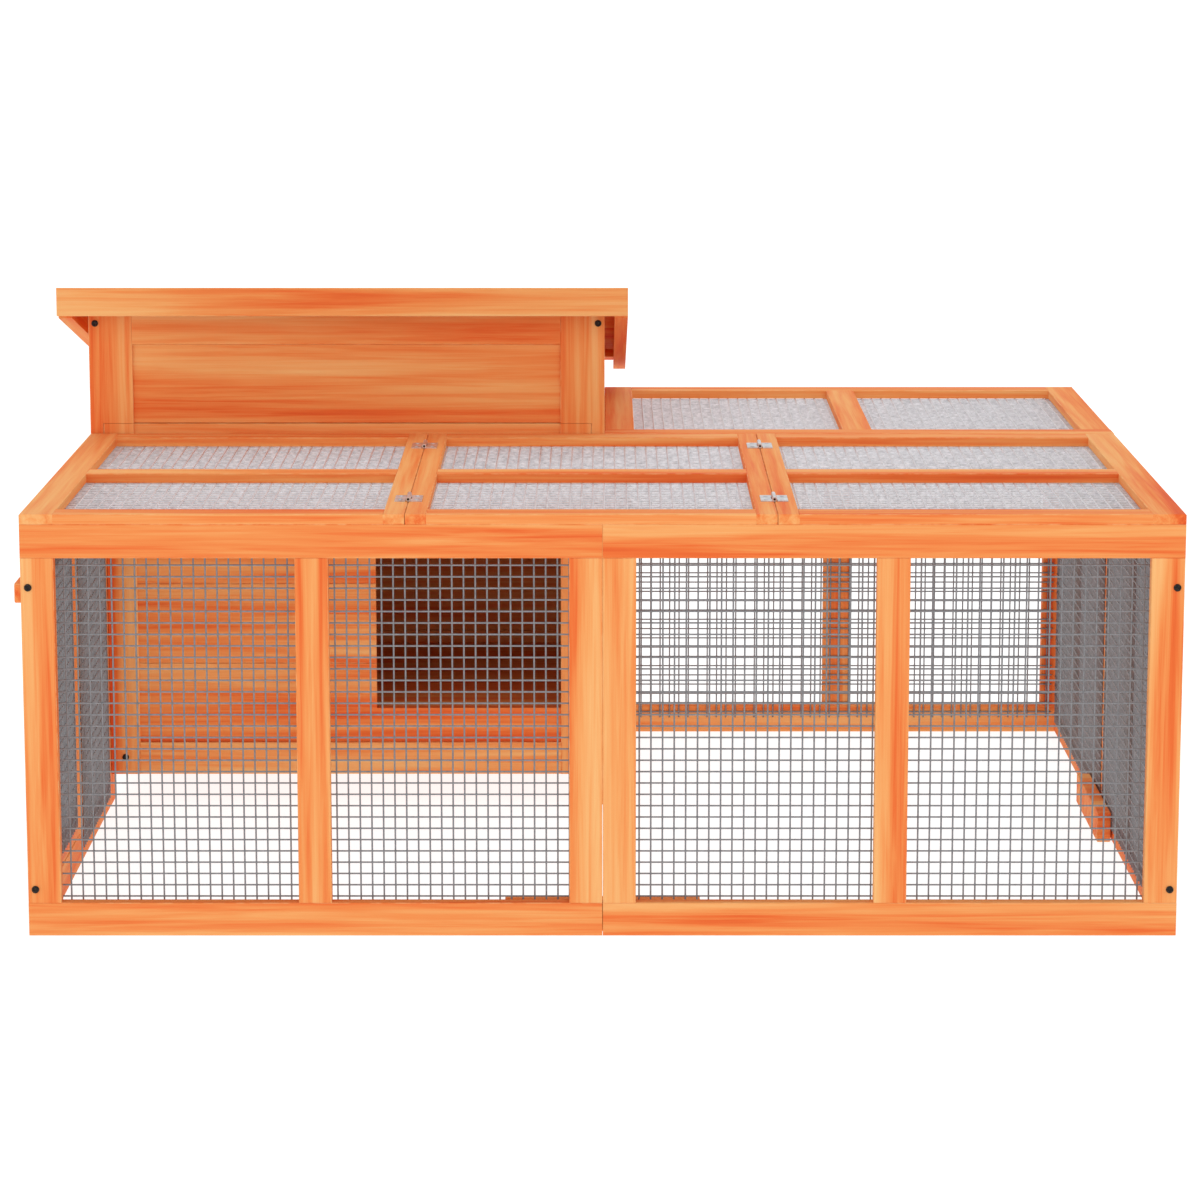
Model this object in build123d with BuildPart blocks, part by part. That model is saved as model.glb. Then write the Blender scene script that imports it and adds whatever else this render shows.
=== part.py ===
from build123d import *
import math
import os

os.makedirs("parts", exist_ok=True)

# Millimetres. +X is to the right seen from the front, +Y goes to the back, +Z is up.
# Spans below are measured from the middle of the run (X), its front face (Y) and the ground (Z).

# ---- the run ----
run_width = 1255.0
run_depth = 1075.0
frame_height = 456.0
bar_wide = 36.0
bar_thick = 16.0
rail_high = 37.0
panel_gap = 0.6  # joint line between two panels that stand side by side
edge_break = 0.8  # chamfer on the long edges of every bar
board_gap = 0.4
half = run_width / 2
inner = half - bar_thick  # the side panels' inner faces
side_split = 537.5  # where the two right side panels meet

# ---- wire mesh ----
mesh_thick = 2.4
mesh_cell = 50.8  # every fourth wire of a half inch mesh
mesh_rib = 3.0
mesh_reach = 13.0  # how far a mesh sheet laps onto its frame
mesh_low = 15.0  # lower edge of the side sheets
front_mesh_z = (20.0, 436.0)
mesh_split = 10.0  # from the middle of the front to its two sheets
side_mesh_in = 8.0  # side sheets stop this far inside their panels' ends
mesh_clear = 5.5  # from a mesh sheet to the panel that crosses its frame

# ---- lids ----
lid_thick = 11.0
lid_depth = 626.0
lid_top = frame_height + lid_thick
left_seam = -213.0
right_seam = 188.5
seam_stile = 23.0
lid_mesh_in = 20.0  # the lids' sheets stop this far from their back edge
rear_gap = 1.2  # between the lids and the fixed panel behind them
rear_mesh_lap = 24.0

# ---- side door and turn button ----
door_y = (53.5, 314.5)
door_z = (38.5, 417.5)
post_y = (316.0, 352.0)  # the fixed post that the door hangs on
button_y, button_z = 34.0, 380.0  # its pivot
button_front, button_back = 30.0, 15.0  # from the pivot to each end
button_wide, button_thick, button_air = 22.0, 7.0, 0.4
button_corner = 4.0
button_shank = 2.0
button_bore_air = 0.06
button_screw_in = 14.0  # how far its screw goes into the frame
button_head_air = 0.1
button_head_r, button_head = 4.0, 1.8

# ---- house ----
house_left = -half
house_right = 2.8
house_front = 628.0
leg_back = 664.0
wall_low = 39.0
lower_top = 479.0  # the lower front panel rises above the lids
front_top = 621.0
board_thick = 12.0
board_high = 100.0
front_rows, side_rows, back_rows = 4, 4, 5  # rows of boards
house_rail_high = 40.0
upper_stile = 53.0
lower_stile = 37.0
front_recess = 4.0
doorway_x = (-280.0, -51.2)
doorway_z = (122.0, 345.0)
floor_z = (110.0, 122.0)
top_rail_low = 576.5
wedge_low = 526.0
wedge_short = 9.0  # the wedge stops this far in front of the corner post
rear_wall_top = 516.0

# ---- roof ----
roof_x = (-658.0, 31.0)
roof_y = (570.0, 1124.0)
roof_high = 652.0
roof_angle = math.radians(13.52)
fascia_high = 34.5
fascia_thick = 16.0
deck_thick = 12.0
barge_high = 21.5
roof_batten_thick = 10.0
deck_boards = 5
rear_batten_in = 4.0  # from the lower edge of the deck to its rear batten
cut_over = 1.0  # how far a cutting block runs past the work

# ---- hinges: small butt hinges, pin centre a little above the faces they are screwed to ----
hinge_long = 40.0
leaf_reach = 15.0
leaf_thick = 1.2
knuckle_r = 2.5
pin_lift = 2.7
pin_r = 1.3
bore_r = 1.35
knuckle_gap = 0.2
web_lap = 0.2  # the web from knuckle to leaf runs this far into the leaf
pin_proud = 0.5  # at each end of a hinge
screw_across = 9.0  # from the pin to the screws
screw_out = 12.0  # screws to each side of the hinge's middle
screw_r, screw_head_r, screw_head, screw_long = 1.3, 2.4, 0.8, 9.5
leaf_hole_r = 1.6
lid_hinge_y = (107.0, 518.0)
door_hinge_z = (110.0, 346.0)
roof_hinge_x = (-500.0, -120.0)

# ---- bolts ----
bolt_r, bolt_head_r, bolt_head, bolt_long = 2.0, 4.0, 2.0, 40.0
bolt_x = half - bar_thick / 2
bolt_z = (52.0, 387.0)
house_bolt_z = 602.5
house_low_bolt_z = 60.5

# The origin is the middle of the whole footprint.
centre_x = (roof_x[0] + half) / 2
centre_y = (roof_y[1] - bolt_head) / 2

bottom_z = (0.0, rail_high)
top_z = (frame_height - rail_high, frame_height)
stile_z = (rail_high, frame_height - rail_high)
lid_z = (frame_height, lid_top)
front_y = (0.0, bar_thick)
back_y = (run_depth - bar_thick, run_depth)


def middle(span):
    return (span[0] + span[1]) / 2


def length(span):
    return span[1] - span[0]


def place(x, y, z):
    """A point of the layout in the part's own frame."""
    return (x - centre_x, y - centre_y, z)


def bar(x, y, z, mode=Mode.ADD):
    """A straight bar that fills three (low, high) spans."""
    with Locations(place(middle(x), middle(y), middle(z))):
        Box(length(x), length(y), length(z), mode=mode)


def save(builder, label):
    builder.part.label = label
    export_step(builder.part, f"parts/{label}.step")


def bars(label, axis, spans):
    """One node of separate bars that all run along one axis, long edges eased."""
    with BuildPart() as node:
        for x, y, z in spans:
            bar(x, y, z)
        chamfer(node.edges().filter_by(axis), length=edge_break)
    save(node, label)


def mesh(label, sheets):
    """One node of flat wire sheets, each a plane, a width and a height."""
    with BuildPart() as node:
        for plane, wide, high in sheets:
            across = int((wide - 2 * mesh_rib) // mesh_cell)
            up = int((high - 2 * mesh_rib) // mesh_cell)
            with BuildSketch(plane):
                Rectangle(wide, high)
                with GridLocations(mesh_cell, mesh_cell, across, up):
                    Rectangle(mesh_cell - mesh_rib, mesh_cell - mesh_rib, mode=Mode.SUBTRACT)
        extrude(amount=mesh_thick)
    save(node, label)


def sheet_behind(x, z, y, out):
    """A sheet that faces front or back, spans x and z, on the face at y, thickening along out."""
    plane = Plane(place(middle(x), y, middle(z)), x_dir=(1, 0, 0), z_dir=(0, out, 0))
    return plane, length(x), length(z)


def sheet_beside(y, z, x, out):
    """A sheet that faces left or right, spans y and z, on the face at x, thickening along out."""
    plane = Plane(place(x, middle(y), middle(z)), x_dir=(0, 1, 0), z_dir=(out, 0, 0))
    return plane, length(y), length(z)


def sheet_under(x, y, z):
    """A level sheet on the underside of a frame at height z."""
    plane = Plane(place(middle(x), middle(y), z), x_dir=(1, 0, 0), z_dir=(0, 0, -1))
    return plane, length(x), length(y)


# ---- front: two half panels, rails running through, three stiles each ----
for label, side in (("front_left", -1), ("front_right", 1)):
    near, far = side * panel_gap / 2, side * half
    whole = (min(near, far), max(near, far))
    bars(f"{label}_rails", Axis.X, [(whole, front_y, top_z), (whole, front_y, bottom_z)])
    centre = middle(whole)
    stiles = [
        (whole[0], whole[0] + bar_wide),
        (centre - bar_wide / 2, centre + bar_wide / 2),
        (whole[1] - bar_wide, whole[1]),
    ]
    bars(f"{label}_stiles", Axis.Z, [(x, front_y, stile_z) for x in stiles])
    ends = sorted((side * mesh_split, side * (inner - mesh_clear)))
    mesh(f"{label}_mesh", [sheet_behind(ends, front_mesh_z, bar_thick, 1)])

# ---- right side: two panels of the same make, between the front and the back ----
right_x = (inner, half)
right_halves = [
    (bar_thick, side_split - panel_gap / 2),
    (side_split + panel_gap / 2, run_depth - bar_thick),
]
side_mesh_z = (mesh_low, frame_height - mesh_low)
right_rails, right_stiles, right_sheets = [], [], []
for y in right_halves:
    right_rails += [(right_x, y, top_z), (right_x, y, bottom_z)]
    for start in (y[0], middle(y) - bar_wide / 2, y[1] - bar_wide):
        right_stiles.append((right_x, (start, start + bar_wide), stile_z))
    sheet_ends = (y[0] + side_mesh_in, y[1] - side_mesh_in)
    right_sheets.append(sheet_beside(sheet_ends, side_mesh_z, inner, -1))
bars("right_side_rails", Axis.Y, right_rails)
bars("right_side_stiles", Axis.Z, right_stiles)
mesh("right_side_mesh", right_sheets)

# ---- back of the run, to the right of the house: no top rail, the fixed top panel closes it ----
back_x = (house_right, half)
back_post = (297.0, 333.0)
bars("back_rail", Axis.X, [(back_x, back_y, bottom_z)])
back_stile_x = [(back_x[0], back_x[0] + bar_wide), back_post, (half - bar_wide, half)]
back_stile_z = (rail_high, frame_height)
bars("back_stiles", Axis.Z, [(x, back_y, back_stile_z) for x in back_stile_x])
back_sheet_x = (house_right + mesh_reach, inner - mesh_clear)
back_mesh_z = (front_mesh_z[0], frame_height - mesh_thick - mesh_clear)
mesh("back_mesh", [sheet_behind(back_sheet_x, back_mesh_z, back_y[0], -1)])

# ---- left side: a fixed frame with the door's opening in front and a mesh window behind ----
left_x = (-half, -inner)
left_y = (bar_thick, house_front)
bars("left_side_rails", Axis.Y, [(left_x, left_y, top_z), (left_x, left_y, bottom_z)])
left_posts = [(bar_thick, bar_thick + bar_wide), post_y, (house_front - bar_wide, house_front)]
bars("left_side_stiles", Axis.Z, [(left_x, y, stile_z) for y in left_posts])
window_y = (post_y[1] - mesh_reach, left_posts[2][0] + mesh_reach)
mesh("left_side_mesh", [sheet_beside(window_y, side_mesh_z, -inner, 1)])

# ---- the side door: stiles run through, rails between ----
door_low_rail = (door_z[0], door_z[0] + bar_wide)
door_high_rail = (door_z[1] - bar_wide, door_z[1])
door_inside = (door_y[0] + bar_wide, door_y[1] - bar_wide)
bars(
    "side_door_rails",
    Axis.Y,
    [(left_x, door_inside, door_low_rail), (left_x, door_inside, door_high_rail)],
)
bars(
    "side_door_stiles",
    Axis.Z,
    [
        (left_x, (door_y[0], door_y[0] + bar_wide), door_z),
        (left_x, (door_y[1] - bar_wide, door_y[1]), door_z),
    ],
)
door_mesh_y = (door_inside[0] - mesh_reach, door_inside[1] + mesh_reach)
door_mesh_z = (door_z[0] + mesh_low, door_z[1] - mesh_low)
mesh("side_door_mesh", [sheet_beside(door_mesh_y, door_mesh_z, -inner, 1)])

# ---- battens that join the half panels, laid over the mesh inside the bottom rails ----
front_batten_y = (bar_thick + mesh_thick, 2 * bar_thick + mesh_thick)
side_batten_x = (inner - mesh_thick - bar_thick, inner - mesh_thick)
batten_half = 107.0
with BuildPart() as joining_battens:
    bar((-batten_half, batten_half), front_batten_y, (0.0, bar_wide))
    bar(side_batten_x, (side_split - batten_half, side_split + batten_half), (0.0, bar_wide))
    chamfer(joining_battens.edges(), length=edge_break)
save(joining_battens, "joining_battens")


# ---- three mesh lids, side by side over the front of the run ----
def lid(label, x, left_stile, right_stile, sheet_x):
    """A flat frame with a rail in front, in the middle and behind, mesh on its underside."""
    inside = (x[0] + left_stile, x[1] - right_stile)
    ends = [(x[0], inside[0]), (inside[1], x[1])]
    bars(f"{label}_stiles", Axis.Y, [(end, (0.0, lid_depth), lid_z) for end in ends])
    starts = (0.0, (lid_depth - bar_wide) / 2, lid_depth - bar_wide)
    rails = [(inside, (start, start + bar_wide), lid_z) for start in starts]
    bars(f"{label}_rails", Axis.X, rails)
    sheet_y = (bar_thick + mesh_clear, lid_depth - lid_mesh_in)
    mesh(f"{label}_mesh", [sheet_under(sheet_x, sheet_y, frame_height)])


gap = panel_gap / 2
outer_sheet = inner - mesh_clear
lap = seam_stile - mesh_reach
lid("left_lid", (-half, left_seam - gap), bar_wide, seam_stile, (-outer_sheet, left_seam - lap))
lid("middle_lid", (left_seam + gap, right_seam - gap), seam_stile, seam_stile,
    (left_seam + lap, right_seam - lap))
lid("right_lid", (right_seam + gap, half), seam_stile, bar_wide, (right_seam + lap, outer_sheet))

# ---- the fixed mesh panel over the back of the run ----
rear_x = (house_right + panel_gap, half)
rear_front_y = (lid_depth + rear_gap, leg_back)
rear_stile_x = [(rear_x[0], rear_x[0] + bar_wide), back_post, (half - bar_wide, half)]
rear_inside = (rear_stile_x[0][1], rear_stile_x[2][0])
rear_rail_y = (run_depth - bar_wide, run_depth)
bars("rear_top_rails", Axis.X, [(rear_x, rear_front_y, lid_z), (rear_inside, rear_rail_y, lid_z)])
rear_ends = (run_depth, rear_rail_y[0], run_depth)
rear_stiles = [(x, (leg_back, end), lid_z) for x, end in zip(rear_stile_x, rear_ends)]
bars("rear_top_stiles", Axis.Y, rear_stiles)
rear_sheet_y = (leg_back - rear_mesh_lap, back_y[0] - side_mesh_in)
mesh("rear_top_mesh", [sheet_under((rear_x[0] + mesh_reach, outer_sheet), rear_sheet_y, frame_height)])

# ---- house: corner legs and the framed front wall ----
left_wall_x = (house_left, house_left + bar_thick)
right_wall_x = (house_right - bar_thick, house_right)
wall_front_y = (house_front, house_front + bar_thick)
rear_stile_y = (run_depth - bar_wide, run_depth)
front_leg_y = (house_front, leg_back)
corner_stiles = []
for x in (left_wall_x, right_wall_x):
    corner_stiles.append((x, front_leg_y, (0.0, frame_height)))
    corner_stiles.append((x, rear_stile_y, (0.0, rear_wall_top)))
bars("house_corner_stiles", Axis.Z, corner_stiles)

lower_inside = (left_wall_x[1] + lower_stile, doorway_x[1])
front_rail_z = (wall_low, wall_low + house_rail_high)
bars(
    "house_front_rails",
    Axis.X,
    [
        (lower_inside, wall_front_y, front_rail_z),
        (lower_inside, wall_front_y, (top_rail_low, front_top)),
    ],
)

# The upper stiles lap over the corner legs, with a step down beside the lower panel.
upper_low = lower_top + board_gap
step_z = (frame_height, upper_low)
with BuildPart() as house_front_stiles:
    lower_z = (wall_low, lower_top)
    upper_z = (upper_low, front_top)
    bar((left_wall_x[1] + board_gap, lower_inside[0]), wall_front_y, lower_z)
    bar((lower_inside[1], right_wall_x[0] - board_gap), wall_front_y, lower_z)
    bar((house_left, house_left + upper_stile), wall_front_y, upper_z)
    bar((doorway_x[1], house_right), wall_front_y, upper_z)
    bar(left_wall_x, wall_front_y, step_z)
    bar(right_wall_x, wall_front_y, step_z)
    chamfer(house_front_stiles.edges().filter_by(Axis.Z), length=edge_break)
save(house_front_stiles, "house_front_stiles")

# ---- house: horizontal boards, the doorway cut out of two of them ----
board_y = (house_front + front_recess, house_front + bar_thick)
beside_door = (lower_inside[0], doorway_x[0])
first = front_rail_z[1]
front_lows = [first + n * board_high for n in range(front_rows)]
board_spans = [(low, low + board_high - board_gap) for low in front_lows]
bars(
    "house_front_boards",
    Axis.X,
    [
        (beside_door, board_y, board_spans[1]),
        (lower_inside, board_y, board_spans[3]),
        (lower_inside, board_y, (upper_low, top_rail_low)),
    ],
)
with BuildPart() as doorway_boards:
    bar(lower_inside, board_y, board_spans[0])
    bar(lower_inside, board_y, board_spans[2])
    chamfer(doorway_boards.edges().filter_by(Axis.X), length=edge_break)
    bar(doorway_x, board_y, doorway_z, mode=Mode.SUBTRACT)
save(doorway_boards, "doorway_boards")


def side_wall(label, x):
    """Boards of one side of the house; the top one is a wedge under the sloping roof."""
    front, back = wall_front_y[1], rear_stile_y[0]
    lows = [wall_low + n * board_high for n in range(side_rows)]
    highs = lows[1:] + [frame_height]
    low_end = wedge_low + board_gap
    roof_line = front_top - board_gap
    wedge_end = back - wedge_short
    with BuildPart() as node:
        for low, high in zip(lows, highs):
            bar(x, (leg_back, back), (low, high - board_gap))
        bar(x, (front, back), (frame_height, wedge_low))
        chamfer(node.edges().filter_by(Axis.Y), length=edge_break)
        with BuildSketch(Plane.YZ.offset(x[0] - centre_x)):
            with BuildLine():
                Polyline(
                    (front - centre_y, low_end),
                    (wedge_end - centre_y, low_end),
                    (wedge_end - centre_y, roof_line - (wedge_end - front) * math.tan(roof_angle)),
                    (front - centre_y, roof_line),
                    close=True,
                )
            make_face()
        extrude(amount=length(x))
    save(node, label)


side_wall("house_left_boards", (left_wall_x[1] - board_thick, left_wall_x[1]))
side_wall("house_right_boards", (right_wall_x[0], right_wall_x[0] + board_thick))

house_inside = (left_wall_x[1], right_wall_x[0])
back_board_y = (run_depth - board_thick, run_depth)
back_lows = [wall_low + n * board_high for n in range(back_rows)]
back_highs = back_lows[1:] + [rear_wall_top + board_gap]
back_boards = [(house_inside, back_board_y, (low, high - board_gap))
               for low, high in zip(back_lows, back_highs)]
bars("house_back_boards", Axis.X, back_boards)

# ---- house: floor on four corner blocks ----
floor_y = (wall_front_y[1], back_board_y[0])
with BuildPart() as house_floor:
    bar(house_inside, floor_y, floor_z)
save(house_floor, "house_floor")

blocks = []
for x in ((house_inside[0], house_inside[0] + bar_wide), (house_inside[1] - bar_wide, house_inside[1])):
    for y in ((floor_y[0], floor_y[0] + bar_wide), (floor_y[1] - bar_wide, floor_y[1])):
        blocks.append((x, y, (wall_low, floor_z[0])))
bars("floor_blocks", Axis.Z, blocks)

# ---- roof: a slope with its high side to the front ----
slope = math.tan(roof_angle)
deck_front = roof_y[0] + fascia_thick + panel_gap
deck_start_z = roof_high - (deck_front - roof_y[0]) * slope
roof_plane = Plane(
    place(middle(roof_x), deck_front, deck_start_z),
    x_dir=(1, 0, 0),
    z_dir=(0, math.sin(roof_angle), math.cos(roof_angle)),
)
deck_long = (roof_y[1] - deck_front) / math.cos(roof_angle)
roof_wide = length(roof_x)
roof_half = roof_wide / 2

with BuildPart() as roof_fascia:
    with BuildSketch(Plane.YZ.offset(roof_x[0] - centre_x)):
        with BuildLine():
            Polyline(
                (roof_y[0] - centre_y, roof_high - fascia_high),
                (roof_y[0] + fascia_thick - centre_y, roof_high - fascia_high),
                (roof_y[0] + fascia_thick - centre_y, roof_high - fascia_thick * slope),
                (roof_y[0] - centre_y, roof_high),
                close=True,
            )
        make_face()
    extrude(amount=roof_wide)
    chamfer(roof_fascia.edges().filter_by(Axis.X), length=edge_break)
save(roof_fascia, "roof_fascia")


def trim_front():
    """Cuts a roof piece off plumb behind the fascia."""
    cut_y = (roof_y[0] - fascia_high, deck_front)
    cut_x = (roof_x[0] - cut_over, roof_x[1] + cut_over)
    bar(cut_x, cut_y, (0.0, roof_high + cut_over), mode=Mode.SUBTRACT)


board_down = deck_long / deck_boards
with BuildPart() as roof_boards:
    with Locations(roof_plane.offset(-deck_thick / 2)):
        for row in range(deck_boards):
            with Locations((0, (row + 0.5) * board_down, 0)):
                Box(roof_wide, board_down - board_gap, deck_thick)
    chamfer(roof_boards.edges().filter_by(Axis.X), length=edge_break)
    trim_front()
save(roof_boards, "roof_boards")

with BuildPart() as roof_bargeboards:
    with Locations(roof_plane.offset(-deck_thick - barge_high / 2)):
        for side in (-1, 1):
            with Locations((side * (roof_half - fascia_thick / 2), deck_long / 2, 0)):
                Box(fascia_thick, deck_long, barge_high)
    trim_front()
save(roof_bargeboards, "roof_bargeboards")

roof_batten_start = (0.0, deck_long - bar_wide - rear_batten_in)
with BuildPart() as roof_battens:
    with Locations(roof_plane.offset(-deck_thick - roof_batten_thick / 2)):
        for start in roof_batten_start:
            with Locations((0, start + bar_wide / 2, 0)):
                Box(roof_wide - 2 * fascia_thick, bar_wide, roof_batten_thick)
    chamfer(roof_battens.edges().filter_by(Axis.X), length=edge_break)
    trim_front()
save(roof_battens, "roof_battens")


# ---- butt hinges ----
def hinge_plane(centre, out, up):
    """A plane across a hinge pin: x runs out along the leaf, y away from the face under it."""
    return Plane(place(*centre), x_dir=out, z_dir=Vector(*out).cross(Vector(*up)))


def leaf(plane, fixed):
    """One leaf with its knuckles: the fixed leaf has the two end knuckles, the other the middle."""
    third = hinge_long / 3
    plate_low, plate_high = -pin_lift, leaf_thick - pin_lift
    start = knuckle_r + 4 * knuckle_gap
    with BuildSketch(plane) as plate:
        with Locations(((start + leaf_reach) / 2, (plate_low + plate_high) / 2)):
            Rectangle(leaf_reach - start, leaf_thick)
    extrude(plate.sketch, amount=hinge_long / 2, both=True)
    middles = (-third, third) if fixed else (0.0,)
    for along in middles:
        with BuildSketch(plane.offset(along)) as knuckle:
            Circle(knuckle_r)
            with Locations(((start + web_lap) / 2, (plate_high - knuckle_r) / 2)):
                Rectangle(start + web_lap, plate_high + knuckle_r)
            Circle(bore_r, mode=Mode.SUBTRACT)
        extrude(knuckle.sketch, amount=third / 2 - knuckle_gap / 2, both=True)
    for along in (-screw_out, screw_out):
        with Locations(plane.offset(along) * Location((screw_across, 0, 0), (-90, 0, 0))):
            Cylinder(leaf_hole_r, 4 * pin_lift, mode=Mode.SUBTRACT)


def screws(plane):
    """Two screws through one leaf into the wood under it."""
    leaf_face = leaf_thick - pin_lift
    for along in (-screw_out, screw_out):
        across = plane.offset(along)
        shank_middle = (screw_across, leaf_face - screw_long / 2, 0)
        head_middle = (screw_across, leaf_face + screw_head / 2, 0)
        with Locations(across * Location(shank_middle, (-90, 0, 0))):
            Cylinder(screw_r, screw_long)
        with Locations(across * Location(head_middle, (-90, 0, 0))):
            Cylinder(screw_head_r, screw_head)


pin_height = lid_top + pin_lift
door_pin_x = -half - pin_lift
door_pin_y = (door_y[1] + post_y[0]) / 2
roof_pin_y = run_depth + pin_lift
roof_pin_drop = (deck_thick + roof_batten_thick + pin_lift) / math.cos(roof_angle)
roof_pin_z = roof_high - (roof_pin_y - roof_y[0]) * slope - roof_pin_drop
down_roof = (0, math.cos(roof_angle), -math.sin(roof_angle))
under_roof = (0, -math.sin(roof_angle), -math.cos(roof_angle))

left_pins = [(left_seam, y, pin_height) for y in lid_hinge_y]
right_pins = [(right_seam, y, pin_height) for y in lid_hinge_y]
door_pins = [(door_pin_x, door_pin_y, z) for z in door_hinge_z]
roof_pins = [(x, roof_pin_y, roof_pin_z) for x in roof_hinge_x]
moving = {
    "left_lid": [hinge_plane(p, (-1, 0, 0), (0, 0, 1)) for p in left_pins],
    "right_lid": [hinge_plane(p, (1, 0, 0), (0, 0, 1)) for p in right_pins],
    "side_door": [hinge_plane(p, (0, -1, 0), (-1, 0, 0)) for p in door_pins],
    "roof": [hinge_plane(p, down_roof, under_roof) for p in roof_pins],
}
fixed_planes = [hinge_plane(p, (1, 0, 0), (0, 0, 1)) for p in left_pins]
fixed_planes += [hinge_plane(p, (-1, 0, 0), (0, 0, 1)) for p in right_pins]
fixed_planes += [hinge_plane(p, (0, 1, 0), (-1, 0, 0)) for p in door_pins]
fixed_planes += [hinge_plane(p, (0, 0, -1), (0, 1, 0)) for p in roof_pins]

for label, planes in moving.items():
    with BuildPart() as hinge_leaves:
        for plane in planes:
            leaf(plane, fixed=False)
    save(hinge_leaves, f"{label}_hinge_leaves")
    with BuildPart() as hinge_screws:
        for plane in planes:
            screws(plane)
    save(hinge_screws, f"{label}_hinge_screws")

with BuildPart() as fixed_hinge_leaves:
    for plane in fixed_planes:
        leaf(plane, fixed=True)
save(fixed_hinge_leaves, "fixed_hinge_leaves")

with BuildPart() as fixed_hinge_screws:
    for plane in fixed_planes:
        screws(plane)
save(fixed_hinge_screws, "fixed_hinge_screws")

with BuildPart() as hinge_pins:
    for plane in fixed_planes:
        with Locations(plane.location):
            Cylinder(pin_r, hinge_long + 2 * pin_proud)
save(hinge_pins, "hinge_pins")

# ---- turn button: a wooden latch that swings over the door's edge ----
button_face = -half - button_air
button_plane = Plane(place(button_face, button_y, button_z), x_dir=(0, 1, 0), z_dir=(-1, 0, 0))
with BuildPart() as turn_button:
    with BuildSketch(button_plane):
        with Locations(((button_back - button_front) / 2, 0)):
            RectangleRounded(button_front + button_back, button_wide, button_corner)
        Circle(button_shank + button_bore_air, mode=Mode.SUBTRACT)
    extrude(amount=button_thick)
    chamfer(turn_button.faces().sort_by(Axis.X)[0].outer_wire().edges(), length=edge_break)
save(turn_button, "turn_button")

with BuildPart() as turn_button_screw:
    with BuildSketch(button_plane.offset(-button_screw_in)):
        Circle(button_shank)
    extrude(amount=button_screw_in + button_thick + button_head_air)
    with BuildSketch(button_plane.offset(button_thick + button_head_air)):
        Circle(button_head_r)
    extrude(amount=button_head)
save(turn_button_screw, "turn_button_screw")

# ---- bolts that hold the panels together at their corners ----
bolt_ends = [(side * bolt_x, 0.0, z, 1) for side in (-1, 1) for z in bolt_z]
bolt_ends += [(bolt_x, run_depth, z, -1) for z in bolt_z]
corner_in = bar_thick / 2
bolt_ends += [(house_left + corner_in, house_front, house_bolt_z, 1)]
bolt_ends += [(house_right - corner_in, house_front, house_bolt_z, 1)]
low_in = bar_thick + lower_stile / 2
bolt_ends += [(house_left + low_in, house_front, house_low_bolt_z, 1)]
bolt_ends += [(house_right - low_in, house_front, house_low_bolt_z, 1)]
with BuildPart() as frame_bolts:
    for x, y, z, inward in bolt_ends:
        face = Plane(place(x, y, z), x_dir=(1, 0, 0), z_dir=(0, inward, 0))
        with Locations(face * Location((0, 0, bolt_long / 2))):
            Cylinder(bolt_r, bolt_long)
        with Locations(face * Location((0, 0, -bolt_head / 2))):
            Cylinder(bolt_head_r, bolt_head)
save(frame_bolts, "frame_bolts")
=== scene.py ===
import math

import bpy
import numpy as np
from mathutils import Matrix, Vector


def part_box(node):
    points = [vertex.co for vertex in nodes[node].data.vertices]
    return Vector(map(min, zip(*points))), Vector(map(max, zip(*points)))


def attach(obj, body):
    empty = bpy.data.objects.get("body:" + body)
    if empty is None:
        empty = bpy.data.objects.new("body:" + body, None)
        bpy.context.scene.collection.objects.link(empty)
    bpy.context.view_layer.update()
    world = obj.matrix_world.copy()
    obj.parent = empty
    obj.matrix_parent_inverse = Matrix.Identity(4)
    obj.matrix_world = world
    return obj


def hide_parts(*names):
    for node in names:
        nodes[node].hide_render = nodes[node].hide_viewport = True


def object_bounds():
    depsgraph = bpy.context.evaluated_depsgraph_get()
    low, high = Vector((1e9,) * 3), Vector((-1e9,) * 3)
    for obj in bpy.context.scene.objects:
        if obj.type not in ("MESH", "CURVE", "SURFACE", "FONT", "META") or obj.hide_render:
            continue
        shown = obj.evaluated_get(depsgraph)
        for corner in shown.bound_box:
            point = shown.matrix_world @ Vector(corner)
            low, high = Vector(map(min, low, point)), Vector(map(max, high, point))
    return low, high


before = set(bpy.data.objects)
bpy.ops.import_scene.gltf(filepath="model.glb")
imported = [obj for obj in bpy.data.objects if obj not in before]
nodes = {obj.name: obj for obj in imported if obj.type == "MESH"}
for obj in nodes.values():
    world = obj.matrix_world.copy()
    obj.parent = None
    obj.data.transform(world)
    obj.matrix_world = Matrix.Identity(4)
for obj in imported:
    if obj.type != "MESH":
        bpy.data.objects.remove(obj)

cadLow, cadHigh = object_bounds()
print("rabbit hutch: frame loaded with", len(nodes), "wooden, wire and metal parts")

# the run's front stands in the plane y = frontLow.y; the lens looks slightly down at it
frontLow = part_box("front_left_rails")[0]
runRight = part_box("front_right_rails")[1].x
camera = {
    "standOff": 4.3,
    "eyeHeight": 1.156,
    "aimHeight": 0.3735,
    "sideStep": -0.0028,
    "lens": 121.6,  # millimetres, with the sensor's width
    "sensorWidth": 36.0,
    "clipStart": 0.05,
    "clipEnd": 200.0,
}


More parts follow.
